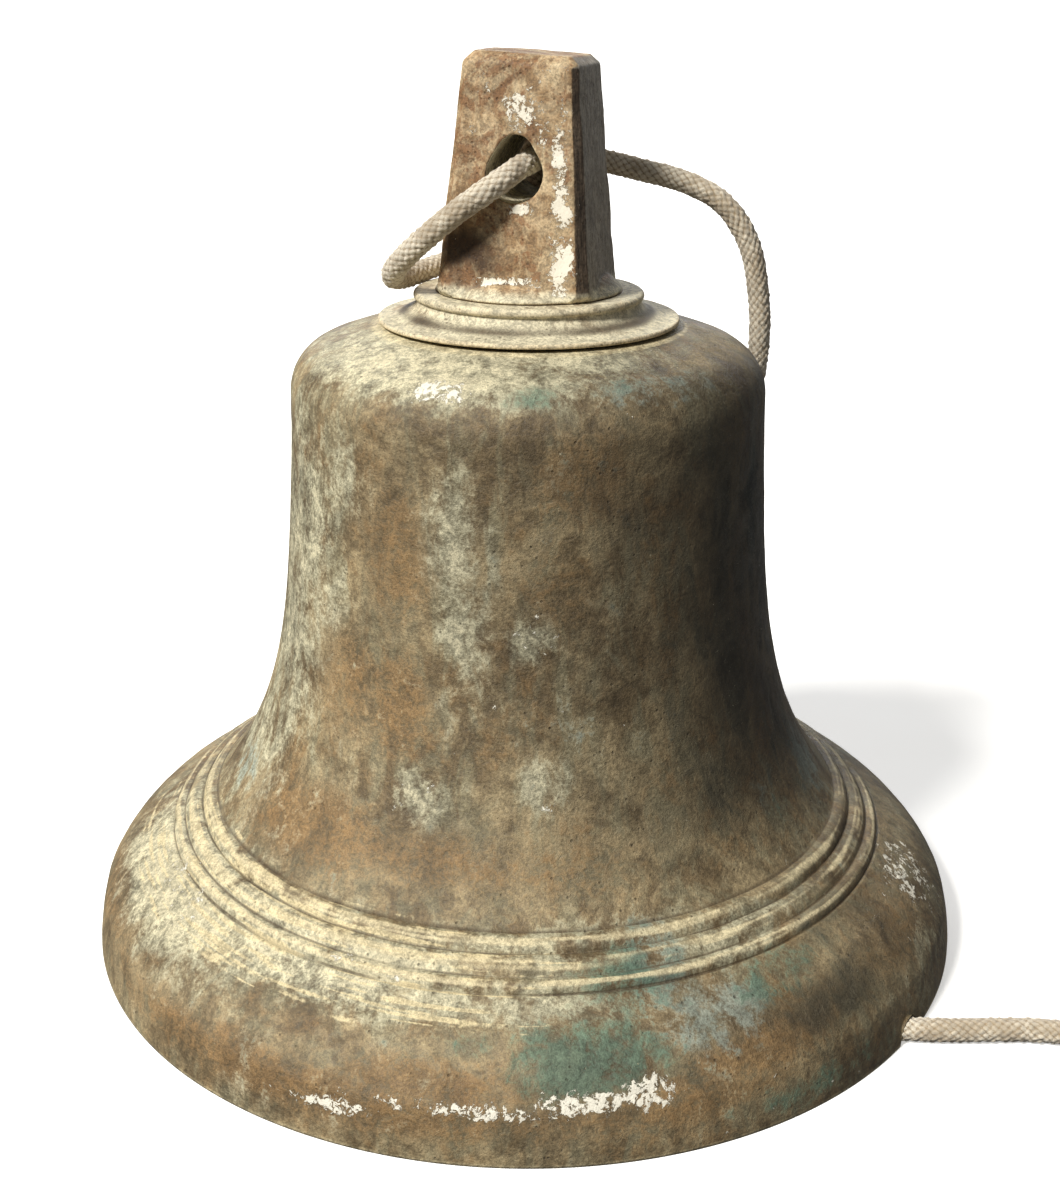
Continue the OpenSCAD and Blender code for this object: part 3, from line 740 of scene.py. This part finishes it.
def shell_outline():
    """The shell's closed r-z section: up the outside from the lip, then down the inside."""
    def bead(s, w, n):
        t = np.linspace(0, 1, n)
        return BELT + (s + w * t)[:, None] * UP + (1.1 * 4 * t * (1 - t))[:, None] * OUT

    band = np.concatenate([
        [BELT, BELT + 9.0 * UP, BELT + 9.4 * UP - 0.6 * OUT],
        bead(9.9, 4.4, 12), bead(14.3, 6.6, 16), [BELT + 20.9 * UP - 0.5 * OUT], bead(21.4, 5.6, 14),
    ])
    z = np.linspace(FLARE[1], 174, 120)[1:]
    lower = np.concatenate([arc(*LIP_C, LIP_R, 3.5, 17.6, 24), arc(*BOW_C, BOW_R, 28, 56, 30)[1:]])
    upper = np.concatenate([np.stack([outer_r(z), z], 1), arc(55.9, 174, 15.3, 0, 70, 30)[1:]])
    dome_r = upper[-1, 0] / math.sin(math.radians(20))
    dome_z = upper[-1, 1] - dome_r * math.cos(math.radians(20))
    seat_r = math.sqrt(dome_r**2 - (SEAT_Z - dome_z)**2)
    dome = arc(0, dome_z, dome_r, 70, 90 - math.degrees(math.asin(seat_r / dome_r)), 12)[1:]
    head = np.array([[BORE_R, SEAT_Z], [BORE_R, HEAD_UNDER]])
    t = np.radians(np.linspace(90, 0, 16))
    wall, spring = 6.5, 160.0
    inner_r = outer_r(spring) - wall
    crown = np.stack([inner_r - 24 + 24 * np.cos(t), spring + (HEAD_UNDER - spring) * np.sin(t)], 1)
    zi = np.linspace(spring, 0, 90)[1:]
    inner = np.stack([outer_r(zi) - wall - 14 * np.exp(-((zi - 20) / 24)**2), zi], 1)
    steps = ((lower, 0.75), (band, 0.42), (upper, 0.8), (dome, 1.0))
    outside = np.concatenate([resample(points, step) for points, step in steps])
    inside = np.concatenate([resample(head, 3), crown, inner])
    lip_floor = resample(np.array([inner[-1], [140, 0]]), 1.2)[1:-1]
    return np.concatenate([outside, inside, lip_floor])


def shell_angles():
    """Angles round the shell in degrees, closer together over the two hollows in the rim."""
    even = np.arange(0, 360, 0.5625)
    fine = np.concatenate([np.arange(99.5, 110, 0.18), np.arange(-34.0, -17.0, 0.18) % 360])
    keep = [a for a in even if not (99.3 < a < 110.1) and not (325.8 < a < 343.2)]
    return np.sort(np.concatenate([keep, fine]))


HOLLOWS = [((-38.0, 147.0), (-32.0, 116.0)), ((104.0, -58.0), (134.0, -54.0))]
HOLLOW_R = 4.0


def cut_hollows(verts):
    """Lifts the rim's underside over the rope in its two worn hollows."""
    for a, b in HOLLOWS:
        a, b = np.array(a), np.array(b)
        run = (b - a) / np.linalg.norm(b - a)
        rel = verts[:, :2] - a
        s = rel @ run
        d = np.abs(rel @ np.array([-run[1], run[0]]))
        inside = (s > -6) & (s < np.linalg.norm(b - a) + 6)
        roof = TABLE_Z + np.sqrt(np.maximum(HOLLOW_R**2 - d**2, 0))
        low = inside & (d < HOLLOW_R) & (verts[:, 2] < roof)
        verts[low, 2] = roof[low]
    return verts


# Where each kind of patina gathers: azimuth, height, half width in degrees, half height in mm, strength.
# They were set by hand; several centres are rounded from a script's readings of the photo.
PATCHES = {
    # the broad dark patch at -14 degrees is dark patina and also painted shade on the side away from the key
    # light
    "dark": [(-14, 124, 36, 62, 0.85), (-50, 156, 20, 26, 0.6), (-30, 72, 28, 16, 0.6), (-36, 24, 11, 7, 1.05),
             (-45, 110, 18, 20, 0.4), (-66, 64, 34, 9, 0.4), (-25, 36, 14, 6, 0.5), (-20, 30, 6, 10, 0.8),
             (-104, 168, 12, 10, 0.35), (-66, 150, 8, 24, 0.35)],
    "pale": [(-145, 120, 24, 60, 0.7), (-150, 70, 20, 20, 0.6), (-92, 152, 7, 20, 0.75), (-88, 120, 8, 22, 0.6),
             (-98, 75, 6, 7, 0.85), (-72, 82, 6, 9, 0.6), (-76, 120, 6, 7, 0.75), (-140, 34, 26, 12, 1.05),
             (-108, 37, 32, 7, 0.95), (-80, 35, 22, 5, 0.65), (-110, 189, 60, 7, 0.9), (-62, 192, 44, 3, 0.8),
             (-72, 44, 30, 4, 0.45), (-120, 160, 8, 14, 0.5), (-10, 14, 14, 8, 0.4), (-44, 40, 14, 5, 0.6),
             (-105, 6, 20, 4, 0.3)],
    "rust": [(-120, 102, 12, 18, 0.8), (-104, 100, 9, 16, 0.75), (-106, 142, 10, 22, 0.75),
             (-62, 165, 16, 16, 0.65), (-70, 134, 8, 18, 0.5), (-122, 60, 22, 12, 0.85), (-48, 21, 10, 6, 0.95),
             (-102, 12, 34, 8, 0.9), (-86, 20, 14, 6, 0.8), (-92, 60, 40, 8, 0.65), (-18, 26, 10, 9, 0.7),
             (-150, 20, 20, 12, 0.6), (-30, 100, 10, 14, 0.3), (-60, 14, 20, 6, 0.7)],
    "teal": [(-69, 25, 11, 8, 1.2), (-40, 32, 9, 6, 0.8), (-75, 186, 9, 3, 0.8), (-12, 150, 5, 30, 0.7),
             (-80, 28, 8, 4, 0.7), (-62, 38, 9, 9, 0.85), (-39, 7, 14, 6, 0.8), (-50, 188, 16, 3, 0.5),
             (-20, 60, 14, 8, 0.4)],
    "steel": [(-52, 29, 9, 7, 0.9), (2, 63, 9, 14, 0.95), (-24, 66, 6, 9, 0.6), (-62, 96, 16, 12, 0.35),
              (-58, 38, 6, 10, 0.85), (-8, 40, 12, 6, 0.6), (-44, 186, 22, 5, 0.7), (-150, 60, 8, 8, 0.8)],
    "flake": [(-80, 15, 18, 2.6, 0.9), (-63, 17.5, 5, 4.5, 1.15), (-71, 16, 7, 3.6, 1.0), (-98, 11, 7, 3, 1.0),
              (-138, 34, 12, 6, 0.6), (-4, 28, 9, 10, 0.75), (-98, 186, 9, 3, 1.05), (-58, 180, 12, 3, 0.4),
              (-74, 122, 6, 6, 0.5), (-98, 75, 5, 6, 0.5), (-84, 92, 12, 20, 0.2), (-40, 5, 16, 4, 0.35),
              (-72, 80, 6, 9, 0.4), (-104, 37, 16, 3, 0.4)],
}
BACK_AMOUNT = {"dark": 0.35, "pale": 0.3, "rust": 0.35, "teal": 0.3, "steel": 0.3, "flake": 0.15}

# How light the patina is painted, by the angle from the camera's side: painted light toward the key light and
# painted shade away from it, partly real darker patina on the shaded side
WALL_SHADE_AND_TONE = [(-180, 0.92), (-110, 1.02), (-60, 1.10), (-25, 1.02), (5, 0.82), (25, 0.60), (45, 0.44),
             (80, 0.44), (110, 0.75), (180, 0.92)]
LIP_SHADE_AND_TONE = [(-180, 0.95), (-110, 1.04), (-60, 1.08), (-20, 1.04), (20, 0.98), (50, 0.84), (80, 0.78),
            (120, 0.9), (180, 0.95)]


def patch_masks(obj):
    """Sets a mask for each kind of patina, and the mask of painted light and shade by the angle round the bell.
    """
    pts = coords(obj.data)
    azimuth = np.degrees(np.arctan2(pts[:, 1], pts[:, 0]))
    back = smooth(np.abs(half_turn(azimuth + 76)), 95, 130)
    for seed, (name, spots) in enumerate(PATCHES.items(), 21):
        value = np.zeros(len(pts))
        for az, z, wide, tall, strength in spots:
            d = half_turn(azimuth - az) / wide
            h = (pts[:, 2] - z) / tall
            value = np.maximum(value, strength * np.exp(-0.9 * (d * d + h * h)**1.4))
        wild = BACK_AMOUNT[name] * (1 + 1.4 * lattice(pts, 38, seed))
        set_mask(obj, name, np.maximum(value, back * wild))
    turn = half_turn(azimuth - FACING)
    wall = np.interp(turn, *zip(*WALL_SHADE_AND_TONE))
    lip = np.interp(turn, *zip(*LIP_SHADE_AND_TONE))
    high = smooth(pts[:, 2], 50, 72) * (1 - 0.75 * smooth(pts[:, 2], 182, 192))
    set_mask(obj, "painted_shade_and_tone", (wall * high + lip * (1 - high)) * (1 + 0.10 * lattice(pts, 40, 27)))


shell = revolve("bell_shell_cast", shell_outline(), shell_angles())
set_coords(shell.data, cut_hollows(coords(shell.data)))
nrm, pts = normals(shell.data), coords(shell.data)
seat = smooth(pts[:, 2], 193.0, 192.2) * smooth(pts[:, 2], 0.3, 2.5)
seat *= 1 - smooth(pts[:, 2], 160, 175) * (np.hypot(pts[:, 0], pts[:, 1]) < 45)
wear = 0.22 * lattice(pts, 46, 3) + 0.13 * lattice(pts, 14, 4)
wear += 0.07 * lattice(pts, 5, 6) + 0.035 * lattice(pts, 2.2, 8)
beads = np.exp(-((pts[:, 2] - 38) / 9)**2)
wear -= beads * 0.16 * np.clip(lattice(pts, 20, 9) + 0.2, 0, 1)
set_coords(shell.data, pts + nrm * (np.minimum(wear, 0.12) * seat)[:, None])
bend = relief(shell, 4)
rel = np.stack([np.hypot(pts[:, 0], pts[:, 1]) - BELT[0], pts[:, 2] - BELT[1]], 1)
lift, slope = rel @ OUT, rel @ UP
belt = (np.abs(lift) < 3) & (slope > 8) & (slope < 29)
grooves = ((9.6, 0.8), (14.3, 0.75), (20.9, 0.9), (27.1, 0.5))
gaps = sum(deep * np.exp(-((slope - at) / 0.36)**2) for at, deep in grooves)
bead_wear_and_highlight = np.where(belt, np.clip(lift, 0, 1)**3, 0)
theta = np.arctan2(pts[:, 1], pts[:, 0])
swept = np.stack([theta * 118 / 16, slope / 0.8, lift * 0], 1)
brush = 0.5 + 0.55 * lattice(swept, 1, 11) + 0.3 * lattice(swept * 2.3, 1, 12)
# left weights the side toward the key light: the bead crests and the lip's brush marks are painted lighter
# there
left = smooth(np.abs(half_turn(np.degrees(theta) + 122)), 75, 25)
lip_zone = smooth(slope, -22, 2) * smooth(slope, 32, 27) * (np.abs(lift) < 8)
# the lip's brush marks, made lighter toward the key light: partly real brushing, partly painted light
set_mask(shell, "brush", np.clip(brush * lip_zone * (0.35 + 0.65 * left), 0, 1))
# painted highlight: the bead crests are lightened, most toward the key light, and join the worn edges in the
# edge mask
bead_wear_and_highlight *= 0.42 + 0.3 * left + 0.5 * lattice(swept, 1, 10)
set_mask(shell, "edge", np.clip(np.clip(bend * 5, 0, 0.6) + bead_wear_and_highlight, 0, 1))
gaps = np.where(belt, gaps * (0.75 + 0.6 * lattice(swept, 1, 13)), 0)
set_mask(shell, "cav", np.clip(np.clip(-bend * 5, 0, 0.7) + gaps, 0, 1))
patch_masks(shell)
shell.data.materials.append(patina_paint("bell_patina"))
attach(shell, "bell")
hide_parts("bell_shell")


# ---------------------------------------------------------------- crown collar and gasket

def collar_outline():
    """The collar's closed r-z section: a flange with a rounded edge, a cove and a bead."""
    edge = COLLAR_Z + 1.2
    cove = (44.45, COLLAR_Z + 7)
    bead = (32.9, POST_Z - 1.3)
    t = np.radians(np.linspace(270, 185, 26))
    cove_line = np.stack([cove[0] + (cove[0] - bead[0]) * np.cos(t),
                          cove[1] + (cove[1] - edge - 0.2) * np.sin(t)], 1)
    return resample(np.concatenate([
        [[BORE_R, COLLAR_Z], [44.0, COLLAR_Z]], arc(44.25, COLLAR_Z + 0.5, 0.5, -60, 0, 5),
        [[44.75, edge - 0.3]], arc(44.4, edge - 0.3, 0.35, 0, 80, 5), cove_line,
        arc(*bead, 1.3, -60, 90, 12), [[BORE_R, POST_Z]],
    ]), 0.45)


collar = revolve("crown_collar_turned", collar_outline(), np.arange(0, 360, 0.9))
nrm, pts = normals(collar.data), coords(collar.data)
inner = smooth(np.hypot(pts[:, 0], pts[:, 1]), 28, 30) * smooth(pts[:, 2], 194.5, 195.2)
wear = 0.12 * lattice(pts, 16, 31) + 0.07 * lattice(pts, 5, 32) + 0.03 * lattice(pts, 1.8, 33)
set_coords(collar.data, pts + nrm * (np.minimum(wear, 0.05) * inner)[:, None])
relief(collar, 3)
radius = np.hypot(pts[:, 0], pts[:, 1])
set_mask(collar, "pale", 0.68 + 0.25 * smooth(radius, 40, 43) + 0.2 * lattice(pts, 18, 36))
hollow = 0.40 * np.exp(-((radius - 36.5) / 2.6)**2) * (1 + 0.9 * lattice(pts, 14, 37))
set_mask(collar, "cav", np.clip(hollow, 0, 1))
set_mask(collar, "grey", 0.25 + 0.2 * lattice(pts, 20, 34))
set_mask(collar, "flake", 0.25 * np.clip(lattice(pts, 12, 35), 0, 1))
crown = crown_paint("crown_patina")
collar.data.materials.append(crown)
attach(collar, "bell")
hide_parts("crown_collar")

section = np.array([[BORE_R, SEAT_Z], [41.6, SEAT_Z], [42, SEAT_Z + 0.2], [42, COLLAR_Z - 0.2],
                    [41.6, COLLAR_Z], [BORE_R, COLLAR_Z], [BORE_R, SEAT_Z + 0.1]])
gasket = revolve("seat_gasket_leather", resample(section, 0.4), np.arange(0, 360, 1.5))
pts = coords(gasket.data)
rim = smooth(np.hypot(pts[:, 0], pts[:, 1]), 40, 41.5)
pts[:, :2] *= (1 + rim * 0.012 * (lattice(pts, 4, 41) - 0.6))[:, None]
set_coords(gasket.data, pts)
leather = Paint("old_leather", roughness=0.9, specular=0.2)
mottle = leather.noise(3, 5, 0.6)
hide = leather.mix(leather.step(mottle, 0.35, 0.65), rgb(52, 42, 32), rgb(84, 68, 50))
gasket.data.materials.append(leather.finish(hide))
leather.bump((mottle, 0.2), (leather.cells(0.8), 0.08))
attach(gasket, "bell")
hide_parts("seat_gasket")


# ---------------------------------------------------------------- hanger post

POST_CUT = POST_Z + 0.01


def cut_copy(name, node, z, keep_above):
    """The part of a CAD node above or below a height in mm, closed at the cut."""
    obj = take_mesh(name, node)
    bm = bmesh.new()
    bm.from_mesh(obj.data)
    bmesh.ops.remove_doubles(bm, verts=bm.verts[:], dist=2e-6)
    got = bmesh.ops.bisect_plane(bm, geom=bm.verts[:] + bm.edges[:] + bm.faces[:], plane_co=(0, 0, z * MM),
                                 plane_no=(0, 0, 1), clear_inner=keep_above, clear_outer=not keep_above)
    cut = [e for e in got["geom_cut"] if isinstance(e, bmesh.types.BMEdge)]
    bmesh.ops.holes_fill(bm, edges=cut, sides=0)
    bmesh.ops.recalc_face_normals(bm, faces=bm.faces[:])
    bm.to_mesh(obj.data)
    bm.free()
    return obj


post = cut_copy("hanger_post_worn", "hanger_post", POST_CUT, True)
mod = post.modifiers.new("cells", "REMESH")
mod.mode = "VOXEL"
mod.voxel_size = 0.00042
apply_modifiers(post)
mod = post.modifiers.new("soften", "SMOOTH")
mod.factor = 0.5
mod.iterations = 14
apply_modifiers(post)
post.data.polygons.foreach_set("use_smooth", np.ones(len(post.data.polygons), dtype=bool))
pts, nrm = coords(post.data), normals(post.data)
rise = (pts[:, 2] - POST_Z) / 67.2
body = smooth(pts[:, 2], 204.0, 207.5)
wear = 0.22 * lattice(pts, 13, 51) + 0.12 * lattice(pts, 5, 52) + 0.06 * lattice(pts, 2.0, 53)
side = np.abs(nrm[:, 0]) > 0.8
files = 0.05 * lattice(pts * np.array([1, 1, 0.08]), 0.9, 54) * side
corner = np.clip(np.abs(pts[:, 0]) + np.abs(pts[:, 1]) - (34 - 10 * rise), 0, 4)
wear = np.minimum(wear + files, 0.08) - 0.10 * corner * np.clip(0.4 + lattice(pts, 9, 55), 0, 1)
pts = pts + nrm * (wear * body)[:, None]
pts[:, 0] += body * 1.1 * (rise - 0.35)
drop = smooth(rise, 0.8, 1.0) * 1.5 * smooth(pts[:, 0], -14, 18)
pts[:, 2] -= drop
set_coords(post.data, pts)
bend = relief(post, 3)
front = smooth(-nrm[:, 1], 0.5, 0.8)
right_side = smooth(nrm[:, 0], 0.45, 0.75)


def spot(x, z, wide, tall, strength):
    """A soft spot on the post's front: centre and half sizes in mm."""
    return strength * np.exp(-(((pts[:, 0] - x) / wide)**2 + ((pts[:, 2] - z) / tall)**2))


flakes = np.max([
    spot(13.5, 238, 3, 20, 1.15), spot(14, 213, 4.5, 11, 1.2), spot(3, 255, 6, 6, 1.25),
    spot(2.5, 228.5, 4, 2.4, 1.5), spot(10, 264, 5, 4, 0.75), spot(0, 208.5, 17, 2.4, 0.9),
    spot(-9, 262, 5, 5, 0.5), spot(-12, 245, 5, 12, 0.35), spot(8, 250, 3, 5, 0.8),
    spot(15, 228, 3, 6, 1.0), spot(0, 235, 30, 40, 0.16),
], axis=0)
# painted shade: the front-right chamfer, turned from the key light, is darkened through the cav mask
painted_chamfer_shade = smooth((nrm[:, 0] - nrm[:, 1]) * 0.7071, 0.9, 0.98)
set_mask(post, "flake", flakes * front * (0.85 + 0.4 * lattice(pts, 6, 56)) + 0.10 * (1 - front))
# the right and back faces, turned from the key light, take the greyer, slightly darker colour: partly their own
# grey, partly painted shade
set_mask(post, "grey", np.clip(right_side + 0.4 * smooth(nrm[:, 1], 0.5, 0.8), 0, 1))
# painted light: the inner wall of the hanger hole is made pale and kept out of the cav darkening, so it looks
# lit
bore_painted_light = (np.hypot(pts[:, 0], pts[:, 2] - 238.2) < 11) & (np.abs(pts[:, 1]) < 19) & (np.abs(nrm[:, 1]) < 0.6)
chalk = 0.7 * np.exp(-((pts[:, 2] - 204.5) / 3)**2)
chalk += 0.45 * np.clip(lattice(pts, 14, 57), 0, 1) * smooth(pts[:, 0], 8, -12)
set_mask(post, "pale", bore_painted_light + chalk)
# a dark patch on the post's lower left front: partly a brown stain, partly the rope's painted shadow; it and
# the painted chamfer shade join the cav mask
stain_and_rope_shadow = spot(-12, 216, 12, 8, 0.6) * front * (1 + 0.6 * lattice(pts, 5, 58))
hollow = np.clip(-bend * 5, 0, 0.8) + 0.55 * painted_chamfer_shade * body + stain_and_rope_shadow
set_mask(post, "cav", np.clip(hollow, 0, 1) * ~bore_painted_light)
post.data.materials.append(crown)
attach(post, "bell")
stud = cut_copy("hanger_stud", "hanger_post", POST_CUT, False)
stud_paint = metal_paint("stud_bronze", rgb(116, 96, 66), rgb(96, 78, 54), rgb(160, 136, 94), 0.5)
stud.data.materials.append(stud_paint)
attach(stud, "bell")
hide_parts("hanger_post")
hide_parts("hanger_post")


# ---------------------------------------------------------------- clapper ball and the small parts

bpy.ops.mesh.primitive_ico_sphere_add(subdivisions=6, radius=0.02, location=(0, 0, 0))
ball = bpy.context.object
ball.name = "clapper_ball_worn"
pts = coords(ball.data)
low = 1 - smooth(np.hypot(pts[:, 0], pts[:, 1]), 7.5, 9.5)
pts[:, 2] = np.clip(pts[:, 2], -18, 18)
direction = pts / np.linalg.norm(pts, axis=1)[:, None]
strike = 0.35 * np.exp(-((np.abs(direction[:, 0]) - 1) / 0.035)**2)
wear = 0.10 * lattice(pts, 9, 61) + 0.05 * lattice(pts, 3, 62)
pts = pts + direction * ((np.minimum(wear, 0.0) - strike) * (1 - low))[:, None]
pts[:, 2] += 46
set_coords(ball.data, pts)
ball.data.polygons.foreach_set("use_smooth", np.ones(len(ball.data.polygons), dtype=bool))
ball_paint = metal_paint("clapper_bronze", rgb(112, 92, 62), rgb(86, 72, 50), rgb(176, 148, 96), 0.55, 0.35)
ball.data.materials.append(ball_paint)
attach(ball, "clapper")
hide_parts("clapper_ball")


def repaint(node, mat):
    """Gives every material slot of a CAD node the same new material."""
    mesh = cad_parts[node].data
    if not mesh.materials:
        mesh.materials.append(mat)
    for i in range(len(mesh.materials)):
        mesh.materials[i] = mat


iron = metal_paint("rusted_iron", rgb(70, 56, 46), rgb(112, 68, 40), rgb(104, 92, 80), 0.3, 0.6)
steel = metal_paint("worn_steel", rgb(120, 114, 104), rgb(96, 78, 60), rgb(168, 162, 150), 0.8, 0.35)
for node in ("stud_washer", "stud_nut", "lock_nut", "clapper_link", "clapper_rod"):
    repaint(node, iron)
for node in ("upper_pin", "upper_split_pin", "lower_pin", "lower_split_pin"):
    repaint(node, steel)
repaint("lanyard_eye", ball_paint)


# ---------------------------------------------------------------- floor

floor_paint = Paint("pale_floor", roughness=0.95, specular=0.1)
weave = floor_paint.noise(60, 4, 0.5)
floor_paint.finish(floor_paint.mix(floor_paint.step(weave, 0.3, 0.7), rgb(240, 238, 234), rgb(244, 243, 240)))
floor_paint.shader.inputs["Emission Color"].default_value = (1, 0.99, 0.97, 1)
floor_paint.shader.inputs["Emission Strength"].default_value = 0.45
bpy.ops.mesh.primitive_plane_add(size=1600, location=(0, 0, -0.0001))
floor = bpy.context.object
floor.name = "floor"
floor.data.materials.append(floor_paint.mat)
floor.visible_diffuse = floor.visible_glossy = floor.visible_shadow = False
